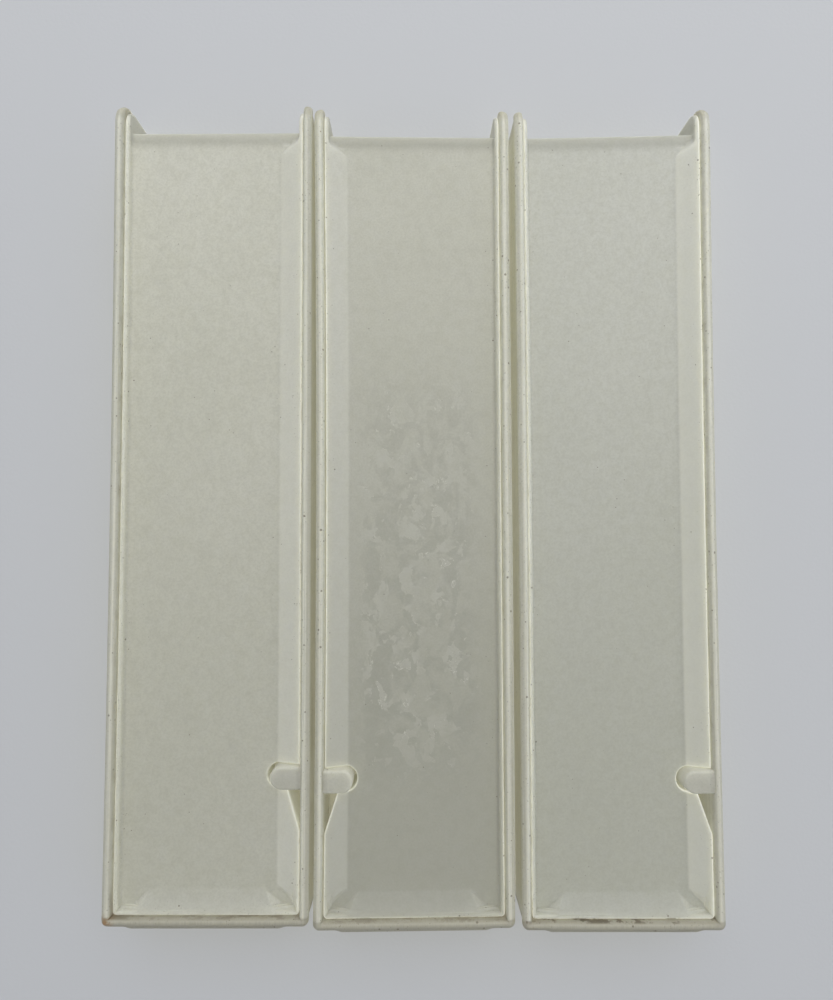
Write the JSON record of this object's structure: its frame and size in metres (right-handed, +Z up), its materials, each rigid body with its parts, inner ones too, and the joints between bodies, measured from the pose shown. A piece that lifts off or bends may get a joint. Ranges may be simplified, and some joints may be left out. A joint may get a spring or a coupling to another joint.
{
  "type": "pill counting tray",
  "caption": "Long narrow translucent trays side by side, each a rimmed casing with a lift-out counting plate, closed in front and open at the rear for pouring.",
  "frame": {"origin": "bottom centre of the box round the whole set", "axes": "+Z up, +X to the right across the three trays, +Y along the trays towards their open pouring ends"},
  "size_m": [0.1866, 0.2542, 0.022],
  "materials": {
    "casing_plastic": "milky translucent moulded plastic, slightly yellowed, satin, dusty in the corners",
    "plate_plastic": "milky translucent moulded plastic, satin, with fine scuffs and specks"
  },
  "bodies": {
    "middle_tray": {"middle_casing": "casing_plastic"},
    "middle_plate": {"middle_counting_plate": "plate_plastic"},
    "left_tray": {"left_casing": "casing_plastic"},
    "left_plate": {"left_counting_plate": "plate_plastic"},
    "right_tray": {"right_casing": "casing_plastic"},
    "right_plate": {"right_counting_plate": "plate_plastic"}
  },
  "joints": [
    {"name": "middle_plate_lift", "type": "slide", "parent": "middle_tray", "child": "middle_plate", "axis": [0, 0, 1], "range_m": [0, 0.04]},
    {"name": "left_tray_part", "type": "slide", "parent": "middle_tray", "child": "left_tray", "axis": [-1, 0, 0], "range_m": [0, 0.06]},
    {"name": "left_plate_lift", "type": "slide", "parent": "left_tray", "child": "left_plate", "axis": [0, 0, 1], "range_m": [0, 0.04]},
    {"name": "right_tray_part", "type": "slide", "parent": "middle_tray", "child": "right_tray", "axis": [1, 0, 0], "range_m": [0, 0.06]},
    {"name": "right_plate_lift", "type": "slide", "parent": "right_tray", "child": "right_plate", "axis": [0, 0, 1], "range_m": [0, 0.04]}
  ]
}
